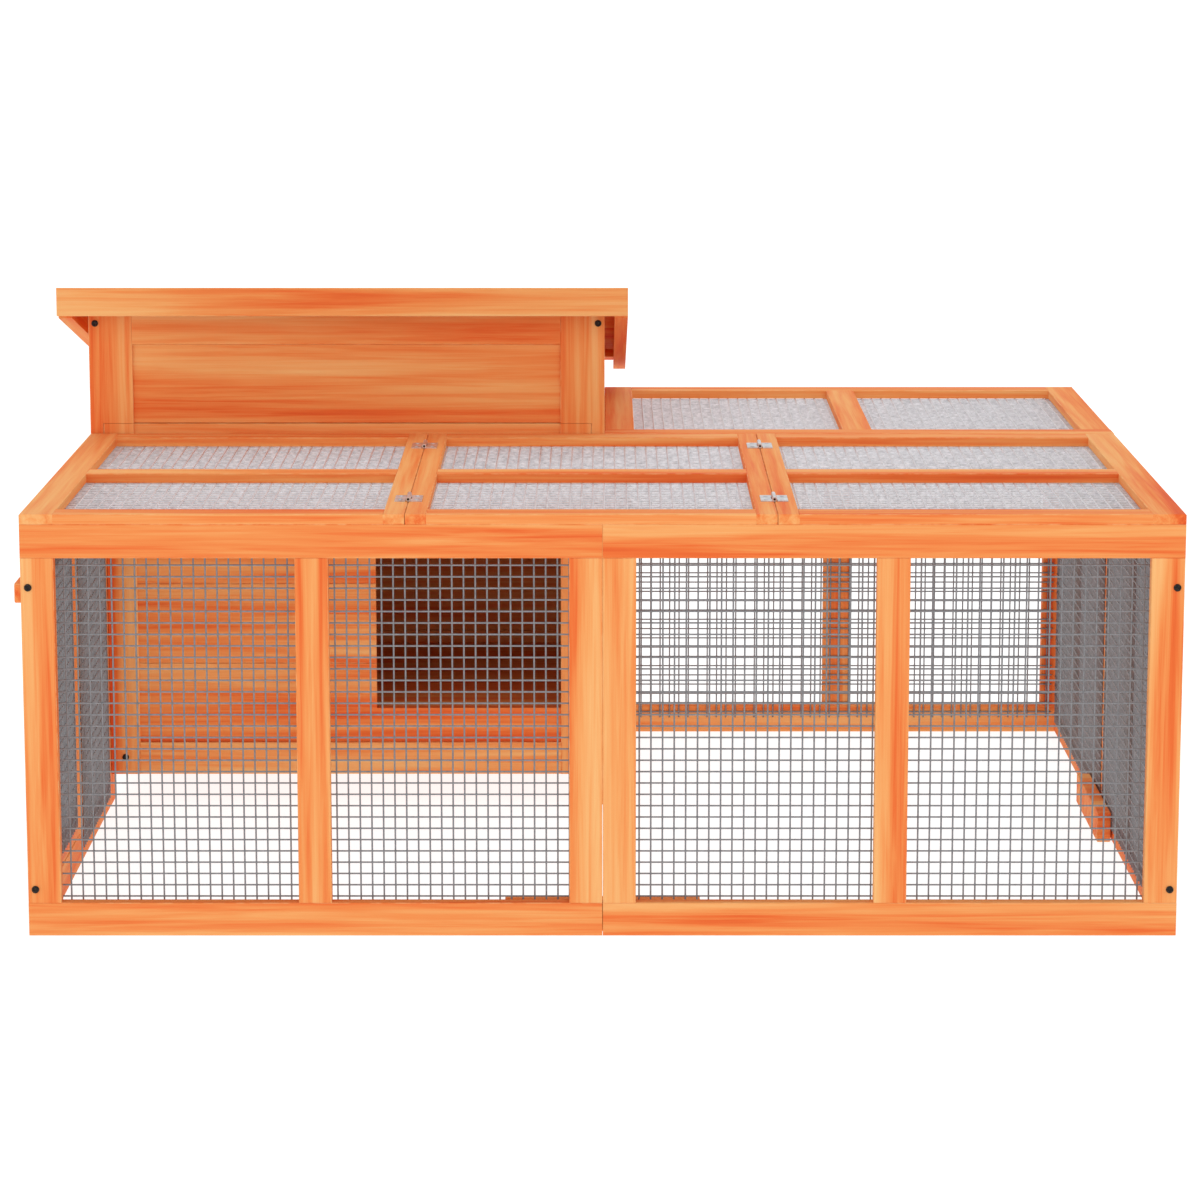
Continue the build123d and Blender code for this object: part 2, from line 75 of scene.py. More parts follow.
def setCamera():
    # the eye is standOff in front of the run's face, the axis meets that face at aimHeight
    middleX = (frontLow.x + runRight) / 2 + camera["sideStep"]
    eye = Vector((middleX, frontLow.y - camera["standOff"], camera["eyeHeight"]))
    aim = Vector((middleX, frontLow.y, camera["aimHeight"]))
    data = bpy.data.cameras.new("viewingCamera")
    data.lens = camera["lens"]
    data.sensor_width = camera["sensorWidth"]
    data.clip_start = camera["clipStart"]
    data.clip_end = camera["clipEnd"]
    holder = bpy.data.objects.new("viewingCamera", data)
    bpy.context.scene.collection.objects.link(holder)
    holder.location = eye
    holder.rotation_euler = (aim - eye).to_track_quat("-Z", "Y").to_euler()
    bpy.context.scene.camera = holder


studio = {
    "worldStrength": 0.84,
    "worldColour": (1.0, 0.995, 0.985, 1.0),
    "softBoxes": [
        # name, place, aim, width in metres, power in watts
        ("keyBox", (-2.4, -5.0, 2.2), (0.0, 0.0, 0.25), 3.0, 24.0),
        ("fillBox", (2.8, -4.6, 2.0), (0.0, 0.0, 0.25), 3.0, 17.0),
        ("topBox", (0.2, 0.8, 3.8), (0.0, 0.1, 0.2), 3.4, 22.0),
    ],
    "floorReach": 60.0,
}


def setLights():
    # an even pale room, and square soft boxes: each stands at its place and faces its aim
    scene = bpy.context.scene
    scene.view_settings.view_transform = "Standard"
    world = bpy.data.worlds.new("paleRoom")
    world.use_nodes = True
    background = world.node_tree.nodes["Background"]
    background.inputs["Color"].default_value = studio["worldColour"]
    background.inputs["Strength"].default_value = studio["worldStrength"]
    scene.world = world
    for name, place, aim, width, power in studio["softBoxes"]:
        data = bpy.data.lights.new(name, "AREA")
        data.shape = "SQUARE"
        data.size = width
        data.energy = power
        holder = bpy.data.objects.new(name, data)
        scene.collection.objects.link(holder)
        holder.location = place
        holder.rotation_euler = (Vector(aim) - Vector(place)).to_track_quat("-Z", "Y").to_euler()


class Graph:
    # a short way to add shader nodes: graph.add(type, {socket: value or link}, property=value)
    def __init__(self, name):
        self.material = bpy.data.materials.new(name)
        self.material.use_nodes = True
        self.tree = self.material.node_tree
        self.tree.nodes.clear()
        self.shader = self.tree.nodes.new("ShaderNodeBsdfPrincipled")
        self.output = self.tree.nodes.new("ShaderNodeOutputMaterial")
        self.tree.links.new(self.shader.outputs[0], self.output.inputs["Surface"])

    def plug(self, node, socket, value):
        # a link is joined to the socket, anything else is set on the socket itself
        target = node.inputs[socket]
        if isinstance(value, bpy.types.NodeSocket):
            self.tree.links.new(value, target)
        else:
            target.default_value = value

    def add(self, kind, sockets=None, **settings):
        node = self.tree.nodes.new(kind)
        for key, value in settings.items():
            setattr(node, key, value)
        for socket, value in (sockets or {}).items():
            self.plug(node, socket, value)
        return node

    def math(self, operation, a, b=0.0, c=0.0):
        node = self.add("ShaderNodeMath", {0: a, 1: b, 2: c}, operation=operation)
        return node.outputs[0]

    def mapped(self, vector, scale=(1, 1, 1), location=(0, 0, 0), rotation=(0, 0, 0)):
        sockets = {"Vector": vector, "Scale": scale, "Location": location, "Rotation": rotation}
        return self.add("ShaderNodeMapping", sockets).outputs[0]

    def noise(self, vector, scale=1.0, detail=2.0, roughness=0.5, distortion=0.0):
        sockets = {
            "Vector": vector,
            "Scale": scale,
            "Detail": detail,
            "Roughness": roughness,
            "Distortion": distortion,
        }
        return self.add("ShaderNodeTexNoise", sockets).outputs[0]

    def ramp(self, factor, stops):
        # stops are (position, colour) pairs, from the lowest position up
        node = self.add("ShaderNodeValToRGB", {0: factor})
        elements = node.color_ramp.elements
        while len(elements) < len(stops):
            elements.new(0.5)
        for element, (position, colour) in zip(elements, stops):
            element.position = position
            element.color = colour
        return node.outputs[0]

    def between(self, value, low, high, outLow=0.0, outHigh=1.0):
        # low..high is spread over outLow..outHigh, and held level outside
        sockets = {
            "Value": value,
            "From Min": low,
            "From Max": high,
            "To Min": outLow,
            "To Max": outHigh,
        }
        return self.add("ShaderNodeMapRange", sockets).outputs[0]

    def blend(self, factor, a, b, mode="MIX"):
        # colour a where the factor is 0, colour b (or a times b) where it is 1
        node = self.add("ShaderNodeMix", data_type="RGBA", blend_type=mode)
        self.plug(node, 0, factor)
        self.plug(node, 6, a)
        self.plug(node, 7, b)
        return node.outputs[2]

    def bump(self, height, strength, distance):
        sockets = {"Height": height, "Strength": strength, "Distance": distance}
        normal = self.add("ShaderNodeBump", sockets).outputs[0]
        self.plug(self.shader, "Normal", normal)


def toned(red, green, blue):
    # screen colour 0..255 to the linear value the shader wants: v / 12.92 in the darkest
    # part, ((v + 0.055) / 1.055) ^ 2.4 above it
    def linear(value):
        share = value / 255.0
        return share / 12.92 if share <= 0.04045 else ((share + 0.055) / 1.055) ** 2.4

    return (linear(red), linear(green), linear(blue), 1.0)


# nearly all of a noise's values lie between these
noiseRange = (0.3, 0.7)

firStain = {
    # the ramp of stain colours, with the tone at which each one stands
    "ramp": [
        (0.18, toned(220, 83, 35)),
        (0.36, toned(232, 111, 52)),
        (0.52, toned(237, 141, 76)),
        (0.68, toned(240, 165, 99)),
        (0.88, toned(242, 185, 121)),
    ],
    "toneLess": 0.575,  # taken off the summed layers, so that the tone lies on the ramp
    "boardTone": (-0.09, 0.07),  # how far one board may be darker or paler than the next
    "boardShift": (7.0, 7.0, 7.0),
    "seedStep": (3.7, 1.9, 5.3),
    "roughness": (0.58, 0.78),
    "specular": 0.14,
    "bumpStrength": 0.35,
    "bumpDistance": 0.0004,
    "dryShade": 0.9,  # for the thinner, drier stain on hidden wood
}

# the grain's layers: marks per metre across and along the bar, a shift that keeps the layers
# apart, the noise's detail, roughness and distortion, and the shares in tone and in relief
grainLayers = {
    "band": {"across": 26.0, "along": 1.1, "apart": 0.0, "noise": (3.0, 0.55, 0.35), "tone": 1.3},
    "streak": {
        "across": 120.0, "along": 3.0, "apart": 4.0, "noise": (4.0, 0.6, 0.6), "tone": 0.75,
        "relief": 0.55,
    },
    "fibre": {
        "across": 900.0, "along": 16.0, "apart": 9.0, "noise": (2.0, 0.5, 0.0), "tone": 0.16,
        "relief": 0.45,
    },
}
firKnot = {
    "colour": toned(176, 60, 26),
    "across": 9.0,
    "along": 3.2,
    "apart": 21.0,
    "rare": 0.82,  # the share of cells that hold no knot
    "rim": (0.05, 0.11),
    "strength": 0.75,
}
# paler chamfers: partly stain rubbed thin, partly a painted highlight along the bars' edges
firEdgeWearAndSheen = {
    "colour": toned(247, 194, 134),
    "slant": 0.72,  # a face is a slanting one if no axis holds more than this of its direction
    "patchScale": 45.0,
    "patchNoise": (3.0, 0.6),
    "patchRange": (0.42, 0.62),
    "strength": 0.55,
}


def firMaterial(name, grain, seed, tilt=0.0, boards=None, shade=1.0, pale=0.0):
    # Stained fir. Object coordinates are squeezed along the grain, so noise turns into long
    # streaks: broad tone bands, narrow streaks and fine fibre are added up and read off a ramp
    # of stain colours. boards = (axis, first seam, board width) gives every board its own grain.
    graph = Graph(name)
    stain = firStain
    texture = graph.add("ShaderNodeTexCoord")
    place = graph.mapped(texture.outputs["Object"], rotation=(tilt, 0.0, 0.0))
    if boards:
        axis, first, width = boards
        split = graph.add("ShaderNodeSeparateXYZ", {0: place})
        past = graph.math("SUBTRACT", split.outputs[axis], first)
        row = graph.math("FLOOR", graph.math("DIVIDE", past, width))
        number = graph.math("ADD", row, seed)
        chance = graph.add("ShaderNodeTexWhiteNoise", {"W": number}, noise_dimensions="1D")
        sockets = {0: chance.outputs["Color"], 1: stain["boardShift"]}
        shift = graph.add("ShaderNodeVectorMath", sockets, operation="MULTIPLY")
        sockets = {0: place, 1: shift.outputs[0]}
        place = graph.add("ShaderNodeVectorMath", sockets, operation="ADD").outputs[0]

    def squeezed(layer):
        scale = [layer["across"]] * 3
        scale["XYZ".index(grain)] = layer["along"]
        stepX, stepY, stepZ = stain["seedStep"]
        apart = layer["apart"]
        start = (seed * stepX + apart, seed * stepY - apart, seed * stepZ + apart)
        return graph.mapped(place, scale=scale, location=start)

    # tone = 1.3 band + 0.75 streak + 0.16 fibre - 0.575, a little up or down for each board
    band, streak, fibre = grainLayers["band"], grainLayers["streak"], grainLayers["fibre"]
    bandNoise = graph.noise(squeezed(band), 1.0, *band["noise"])
    streakNoise = graph.noise(squeezed(streak), 1.0, *streak["noise"])
    fibreNoise = graph.noise(squeezed(fibre), 1.0, *fibre["noise"])
    tone = graph.math("MULTIPLY", streakNoise, streak["tone"])
    tone = graph.math("MULTIPLY_ADD", bandNoise, band["tone"], tone)
    tone = graph.math("MULTIPLY_ADD", fibreNoise, fibre["tone"], tone)
    # pale lifts the tone up the ramp as painted light, and a negative pale lowers it as painted
    # shade
    tone = graph.math("SUBTRACT", tone, stain["toneLess"] - pale)
    if boards:
        step = graph.between(chance.outputs["Value"], 0.0, 1.0, *stain["boardTone"])
        tone = graph.math("ADD", tone, step)
    colour = graph.ramp(tone, stain["ramp"])

    # a rare small knot, drawn out along the grain, darker than the wood round it
    knot = firKnot
    sockets = {"Vector": squeezed(knot), "Scale": 1.0, "Randomness": 1.0}
    cells = graph.add("ShaderNodeTexVoronoi", sockets)
    draw = graph.add("ShaderNodeSeparateColor", {0: cells.outputs["Color"]})
    rare = graph.math("GREATER_THAN", draw.outputs[0], knot["rare"])
    near = graph.between(cells.outputs["Distance"], *knot["rim"], 1.0, 0.0)
    amount = graph.math("MULTIPLY", graph.math("MULTIPLY", near, rare), knot["strength"])
    colour = graph.blend(amount, colour, knot["colour"])

    # eased edges: the slanting faces of the chamfers get a paler stain in patches, partly wear where
    # the stain is rubbed thin and partly a painted highlight along the edges; on the roof every face
    # slants, so there the edges are left alone
    if not tilt:
        edgeWearAndSheen = firEdgeWearAndSheen
        sockets = {0: texture.outputs["Normal"], 1: texture.outputs["Normal"]}
        face = graph.add("ShaderNodeVectorMath", sockets, operation="MULTIPLY").outputs[0]
        parts = graph.add("ShaderNodeSeparateXYZ", {0: face})
        flattest = graph.math("MAXIMUM", parts.outputs[0], parts.outputs[1])
        flattest = graph.math("MAXIMUM", flattest, parts.outputs[2])
        slanting = graph.math("LESS_THAN", flattest, edgeWearAndSheen["slant"])
        patches = graph.noise(place, edgeWearAndSheen["patchScale"], *edgeWearAndSheen["patchNoise"])
        patches = graph.between(patches, *edgeWearAndSheen["patchRange"])
        amount = graph.math("MULTIPLY", graph.math("MULTIPLY", slanting, patches), edgeWearAndSheen["strength"])
        colour = graph.blend(amount, colour, edgeWearAndSheen["colour"])
    if shade != 1.0:
        colour = graph.blend(1.0, colour, (shade, shade, shade, 1.0), "MULTIPLY")
    graph.plug(graph.shader, "Base Color", colour)
    roughness = graph.between(streakNoise, *noiseRange, *stain["roughness"])
    graph.plug(graph.shader, "Roughness", roughness)
    graph.shader.inputs["Specular IOR Level"].default_value = stain["specular"]
    relief = graph.math("MULTIPLY", streakNoise, streak["relief"])
    relief = graph.math("MULTIPLY_ADD", fibreNoise, fibre["relief"], relief)
    graph.bump(relief, stain["bumpStrength"], stain["bumpDistance"])
    return graph.material


def drySpruceMaterial(name, grain, seed):
    # The house's floor and its corner blocks: the same stain, thinner and duller
    return firMaterial(name, grain, seed, shade=firStain["dryShade"])


wireZinc = {
    "dull": toned(106, 106, 109),
    "bright": toned(148, 148, 151),
    "ramp": (0.3, 0.75),
    "patchScale": 160.0,
    "patchNoise": (3.0, 0.6),
    "patchShare": 0.75,
    "fineScale": 1400.0,
    "fineNoise": (2.0, 0.5),
    "fineShare": 0.35,
    "metallic": 0.4,
    "roughness": (0.36, 0.58),
    "bumpStrength": 0.2,
    "bumpDistance": 0.0001,
}


def wireMaterial(name, paintedGain=1.0):
    # Galvanised wire: zinc in dull and bright patches a few millimetres long; the gain, when above
    # 1, is painted light: a paler copy of the zinc
    zinc = wireZinc
    graph = Graph(name)
    place = graph.add("ShaderNodeTexCoord").outputs["Object"]
    patches = graph.noise(place, zinc["patchScale"], *zinc["patchNoise"])
    fine = graph.noise(place, zinc["fineScale"], *zinc["fineNoise"])
    mixed = graph.math("MULTIPLY", patches, zinc["patchShare"])
    mixed = graph.math("MULTIPLY_ADD", fine, zinc["fineShare"], mixed)
    stops = []
    for position, key in zip(zinc["ramp"], ("dull", "bright")):
        paintedLit = [min(1.0, value * paintedGain) for value in zinc[key][:3]]
        stops.append((position, (*paintedLit, 1.0)))
    graph.plug(graph.shader, "Base Color", graph.ramp(mixed, stops))
    graph.shader.inputs["Metallic"].default_value = zinc["metallic"]
    roughness = graph.between(patches, *noiseRange, *zinc["roughness"])
    graph.plug(graph.shader, "Roughness", roughness)
    graph.bump(fine, zinc["bumpStrength"], zinc["bumpDistance"])
    return graph.material


zincPlate = {
    "ramp": [(0.3, toned(186, 186, 190)), (0.7, toned(232, 232, 236))],
    "cloudScale": 90.0,
    "cloudNoise": (3.0, 0.6),
    "brushScale": (400.0, 2600.0, 2600.0),
    "brushNoise": (2.0, 0.5),
    "spotColour": toned(150, 140, 128),
    "spotScale": 260.0,
    "spotNoise": (4.0, 0.7),
    "spotRange": (0.62, 0.74),
    "spotStrength": 0.5,
    "metallic": 0.85,
    "roughness": 0.26,
    "roughnessMore": 0.16,
    "bumpStrength": 0.15,
    "bumpDistance": 0.0001,
}


def platedMaterial(name):
    # Zinc plated sheet: soft cloudy patches, fine brushing across, a little brown in scattered spots
    plate = zincPlate
    graph = Graph(name)
    place = graph.add("ShaderNodeTexCoord").outputs["Object"]
    clouds = graph.noise(place, plate["cloudScale"], *plate["cloudNoise"])
    across = graph.mapped(place, scale=plate["brushScale"])
    brushing = graph.noise(across, 1.0, *plate["brushNoise"])
    spots = graph.noise(place, plate["spotScale"], *plate["spotNoise"])
    spots = graph.between(spots, *plate["spotRange"])
    amount = graph.math("MULTIPLY", spots, plate["spotStrength"])
    colour = graph.blend(amount, graph.ramp(clouds, plate["ramp"]), plate["spotColour"])
    graph.plug(graph.shader, "Base Color", colour)
    graph.shader.inputs["Metallic"].default_value = plate["metallic"]
    roughness = graph.math("MULTIPLY_ADD", brushing, plate["roughnessMore"], plate["roughness"])
    graph.plug(graph.shader, "Roughness", roughness)
    graph.bump(brushing, plate["bumpStrength"], plate["bumpDistance"])
    return graph.material


blackSteel = {
    "ramp": [(0.48, toned(26, 22, 22)), (0.8, toned(92, 74, 62))],
    "rubScale": 520.0,
    "rubNoise": (4.0, 0.65),
    "metallic": 0.6,
    "roughness": (0.34, 0.55),
    "bumpStrength": 0.2,
    "bumpDistance": 0.0002,
}


def blackenedMaterial(name):
    # Blackened steel: nearly black, brown where the finish has rubbed thin
    steel = blackSteel
    graph = Graph(name)
    place = graph.add("ShaderNodeTexCoord").outputs["Object"]
    rubbed = graph.noise(place, steel["rubScale"], *steel["rubNoise"])
    graph.plug(graph.shader, "Base Color", graph.ramp(rubbed, steel["ramp"]))
    graph.shader.inputs["Metallic"].default_value = steel["metallic"]
    roughness = graph.between(rubbed, *noiseRange, *steel["roughness"])
    graph.plug(graph.shader, "Roughness", roughness)
    graph.bump(rubbed, steel["bumpStrength"], steel["bumpDistance"])
    return graph.material


floorPaint = {
    "colour": toned(140, 140, 140),
    "roughness": (0.75, 0.9),
    "patchScale": 3.0,
    "glow": 0.88,  # a lit table top, so shadows stay faint
    "under": 0.0004,  # how far it lies below the feet
}


def makeFloor():
    # one level square, z = the lowest foot less a hair
    reach = studio["floorReach"]
    corners = np.array([(-reach, -reach), (reach, -reach), (reach, reach), (-reach, reach)])
    heights = np.full((4, 1), cadLow.z - floorPaint["under"])
    mesh = bpy.data.meshes.new("paleFloor")
    mesh.from_pydata(np.hstack([corners, heights]).tolist(), [], [(0, 1, 2, 3)])
    floor = bpy.data.objects.new("paleFloor", mesh)
    bpy.context.scene.collection.objects.link(floor)
    graph = Graph("palePaint")
    place = graph.add("ShaderNodeTexCoord").outputs["Object"]
    graph.shader.inputs["Base Color"].default_value = floorPaint["colour"]
    patches = graph.noise(place, floorPaint["patchScale"])
    roughness = graph.between(patches, 0.0, 1.0, *floorPaint["roughness"])
    graph.plug(graph.shader, "Roughness", roughness)
    graph.shader.inputs["Emission Color"].default_value = (1.0, 1.0, 1.0, 1.0)
    graph.shader.inputs["Emission Strength"].default_value = floorPaint["glow"]
    mesh.materials.append(graph.material)


roofSlope = math.radians(13.52)
roofBoardCount = 5
boardWidth = 0.1  # metres
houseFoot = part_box("house_front_rails")[0].z
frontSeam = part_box("doorway_boards")[0].z
roofBoardLow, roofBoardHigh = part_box("roof_boards")
roofRun = (roofBoardHigh.y - roofBoardLow.y) / math.cos(roofSlope)

# which way the grain of each part runs, and where boards lie edge to edge
grainAlongX = [
    "front_left_rails", "front_right_rails", "back_rail", "house_front_rails", "rear_top_rails",
    "left_lid_rails", "middle_lid_rails", "right_lid_rails", "roof_fascia", "joining_battens",
]
grainAlongY = [
    "right_side_rails", "left_side_rails", "side_door_rails", "rear_top_stiles",
    "left_lid_stiles", "middle_lid_stiles", "right_lid_stiles", "turn_button",
]
grainAlongZ = [
    "front_left_stiles", "front_right_stiles", "right_side_stiles", "back_stiles",
    "left_side_stiles", "side_door_stiles", "house_front_stiles", "house_corner_stiles",
]
boardedX = {
    "house_front_boards": (2, frontSeam, boardWidth),
    "doorway_boards": (2, frontSeam, boardWidth),
    "house_back_boards": (2, houseFoot, boardWidth),
}
boardedY = {
    "house_left_boards": (2, houseFoot, boardWidth),
    "house_right_boards": (2, houseFoot, boardWidth),
}

# painted light and shade, as a step on the stain's ramp: listed parts that sit in shade, such as the
# house front under the roof's overhang, are painted paler, and the back rail and stiles darker
paintedLightSteps = {
    "roof_fascia": 0.13,
    "house_front_boards": 0.03,
    "house_front_rails": 0.1,
    "doorway_boards": 0.05,
    "front_left_stiles": 0.06,
    "front_right_stiles": 0.05,
    "front_right_rails": -0.02,
    "back_rail": -0.06,
    "back_stiles": -0.08,
}


def finishNode(name, material):
    # the part keeps its shape and gets this one finish
    materials = nodes[name].data.materials
    materials.clear()
    materials.append(material)


def finishWood():
    # every part has its own seed, so no two show the same grain
    seed = 1.0
    # each part gets its step of painted light and shade from the table, where it has one
    for grain, names in (("X", grainAlongX), ("Y", grainAlongY), ("Z", grainAlongZ)):
        for name in names:
            pale = paintedLightSteps.get(name, 0.0)
            finishNode(name, firMaterial("fir_" + name, grain, seed, pale=pale))
            seed += 1.0
    for grain, boarded in (("X", boardedX), ("Y", boardedY)):
        for name, boards in boarded.items():
            pale = paintedLightSteps.get(name, 0.0)
            material = firMaterial("fir_" + name, grain, seed, boards=boards, pale=pale)
            finishNode(name, material)
            seed += 1.0
    # on the roof the coordinates are first turned level, so boards are counted down the slope
    start = roofBoardLow.y * math.cos(roofSlope) - roofBoardHigh.z * math.sin(roofSlope)
    sloping = {
        "roof_boards": ("X", (1, start, roofRun / roofBoardCount)),
        "roof_battens": ("X", None),
        "roof_bargeboards": ("Y", None),
    }
    for name, (grain, boards) in sloping.items():
        material = firMaterial("fir_" + name, grain, seed, tilt=roofSlope, boards=boards)
        finishNode(name, material)
        seed += 1.0
    for name, grain in (("house_floor", "X"), ("floor_blocks", "Z")):
        finishNode(name, drySpruceMaterial("dry_" + name, grain, seed))
        seed += 1.0
    print("wood: grain and stain on", int(seed) - 1, "parts")


def solidsOf(name):
    # Splits a part into its separate solids: equal corners get one number, then every corner
    # takes the lowest number among the corners it shares a face with, until nothing changes
    mesh = nodes[name].data
    corners = np.empty(len(mesh.vertices) * 3)
    mesh.vertices.foreach_get("co", corners)
    corners = corners.reshape(-1, 3)
    loops = np.empty(len(mesh.loops), int)
    mesh.loops.foreach_get("vertex_index", loops)
    faces = loops.reshape(-1, 3)
    merged = np.unique(np.round(corners, 6), axis=0, return_inverse=True)[1].reshape(-1)
    faces = merged[faces]
    label = np.arange(merged.max() + 1)
    while True:
        lowest = label[faces].min(axis=1)
        fresh = label.copy()
        for side in range(3):
            np.minimum.at(fresh, faces[:, side], lowest)
        if (fresh == label).all():
            break
        label = fresh
    owner = label[merged]
    return [corners[owner == number] for number in np.unique(owner)]


weldedWire = {
    "pitch": 0.0127,  # half inch squares
    "radius": 0.00095,
    "sides": 6,
    "uprightStart": -0.56705,  # where the wires that share the front's grid start
    "levelStart": 0.0404,
    "depthStart": 0.0062,  # from a sheet's front edge to its first crossing wire
    "cutEnd": 0.003,  # how far a wire runs past the last one it crosses
    "lyingUnder": 0.01,  # a sheet less tall than this lies flat
    "lyingPaintedGain": 2.9,  # painted light: the zinc of a flat sheet's wires is made this much paler
}


def prismRows(starts, ends, radius, sides):
    # many straight wires at once: each is a ring of corners round its start and round its end,
    # point = axis + radius (cos a u + sin a v), with flat closed ends
    along = ends - starts
    along /= np.linalg.norm(along, axis=1)[:, None]
    helper = np.where(np.abs(along[:, 2:]) < 0.9, [[0.0, 0.0, 1.0]], [[1.0, 0.0, 0.0]])
    across = np.cross(helper, along)
    across /= np.linalg.norm(across, axis=1)[:, None]
    upward = np.cross(along, across)
    angle = np.arange(sides) / sides * 2 * math.pi + math.pi / sides
    angle = angle[None, :, None]
    ring = radius * (np.cos(angle) * across[:, None] + np.sin(angle) * upward[:, None])
    points = np.stack([starts[:, None] + ring, ends[:, None] + ring], axis=1)
    count = len(starts)
    base = np.arange(count)[:, None] * 2 * sides
    step = np.arange(sides)[None]
    after = (step + 1) % sides
    walls = np.stack([base + step, base + after, base + sides + after, base + sides + step], axis=-1)
    firstCap = base + step[:, ::-1]
    lastCap = base + sides + step
    faces = walls.reshape(-1, 4).tolist() + firstCap.tolist() + lastCap.tolist()
    return points.reshape(-1, 3), faces


def addSurface(name, points, faces, material, body, replaced, smooth=False):
    # a new piece at the origin that rides its body and stands in for the part it replaces
    mesh = bpy.data.meshes.new(name)
    mesh.from_pydata(points.tolist(), [], faces)
    mesh.materials.append(material)
    if smooth:
        mesh.polygons.foreach_set("use_smooth", np.ones(len(mesh.polygons), bool))
    mesh.update()
    piece = bpy.data.objects.new(name, mesh)
    bpy.context.scene.collection.objects.link(piece)
    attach(piece, body)
    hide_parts(*replaced)


def gridLines(low, high, start):
    # the lines start + n pitch that fall inside low..high, clear of the cut ends
    pitch, margin = weldedWire["pitch"], weldedWire["cutEnd"]
    first = math.ceil((low + margin - start) / pitch)
    last = math.floor((high - margin - start) / pitch)
    return start + pitch * np.arange(first, last + 1)


def wireSheet(corners):
    # one sheet: wires along both directions of the sheet, in two layers that just sink
    # into each other where they are welded
    low, high = corners.min(axis=0), corners.max(axis=0)
    thin = int(np.argmin(high - low))
    first, second = [axis for axis in range(3) if axis != thin]
    radius = weldedWire["radius"]
    layers = (low[thin] + radius, high[thin] - radius)
    starts = {
        0: weldedWire["uprightStart"],
        1: low[1] + weldedWire["depthStart"],
        2: weldedWire["levelStart"],
    }
    begin, end = [], []
    for axis, other, layer in ((first, second, layers[0]), (second, first, layers[1])):
        lines = gridLines(low[other], high[other], starts[other])
        a = np.empty((len(lines), 3))
        a[:, thin] = layer
        a[:, other] = lines
        b = a.copy()
        a[:, axis] = low[axis]
        b[:, axis] = high[axis]
        begin.append(a)
        end.append(b)
    return np.vstack(begin), np.vstack(end)


wireSheets = {
    "frontLeftWires": ("front_left_mesh", "frame"),
    "frontRightWires": ("front_right_mesh", "frame"),
    "rightSideWires": ("right_side_mesh", "frame"),
    "backWires": ("back_mesh", "frame"),
    "leftSideWires": ("left_side_mesh", "frame"),
    "rearTopWires": ("rear_top_mesh", "frame"),
    "middleLidWires": ("middle_lid_mesh", "frame"),
    "leftLidWires": ("left_lid_mesh", "left_lid"),
    "rightLidWires": ("right_lid_mesh", "right_lid"),
    "sideDoorWires": ("side_door_mesh", "side_door"),
}


def makeWires():
    # one piece of wires for each sheet; where the sheet lies flat its wires get painted light, a
    # paler copy of the zinc
    upright = wireMaterial("galvanisedWire")
    # painted light: the flat sheets' wires use the paler copy
    level = wireMaterial("galvanisedWirePaintedLight", weldedWire["lyingPaintedGain"])
    total = 0
    for name, (part, body) in wireSheets.items():
        sheets = [wireSheet(solid) for solid in solidsOf(part)]
        begin, end = (np.vstack(rows) for rows in zip(*sheets))
        points, faces = prismRows(begin, end, weldedWire["radius"], weldedWire["sides"])
        low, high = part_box(part)
        lying = high.z - low.z < weldedWire["lyingUnder"]
        material = level if lying else upright
        addSurface(name, points, faces, material, body, [part])
        total += len(begin)
    print("wire:", total, "wires in", len(wireSheets), "pieces")


screwHeads = {
    "zinc_plate": {"crown": 0.45, "deep": 0.9, "armWidth": 0.16, "reach": 0.62},
    "blackened_steel": {"crown": 0.4, "deep": 0.85, "armWidth": None, "reach": 0.5},
}
headGrid = {
    "around": 32,
    "outward": 9,
    "innermost": 0.06,  # the first ring's share of the head's radius
    "tipShare": 0.2,  # the tip's share of the shank's radius
    "rimShare": 0.9,  # corners past this share of the widest one belong to the head
    "footDepth": 0.0005,  # corners this near the foot belong to the shank
}


def readScrew(corners):
    # the screw's own axis is the long direction of its corners; the head is its wide end
    middle = corners.mean(axis=0)
    axis = np.linalg.svd(corners - middle, full_matrices=False)[2][0]
    along = (corners - middle) @ axis
    apart = np.linalg.norm((corners - middle) - along[:, None] * axis, axis=1)
    isHead = apart > headGrid["rimShare"] * apart.max()
    if along[isHead].mean() < 0:
        axis = -axis
        along = -along
    wide = along[isHead]
    return {
        "foot": middle + axis * along.min(),
        "axis": axis,
        "long": along.max() - along.min(),
        "head": wide.max() - wide.min(),
        "headRadius": apart.max(),
        "shankRadius": apart[along < along.min() + headGrid["footDepth"]].max(),
    }


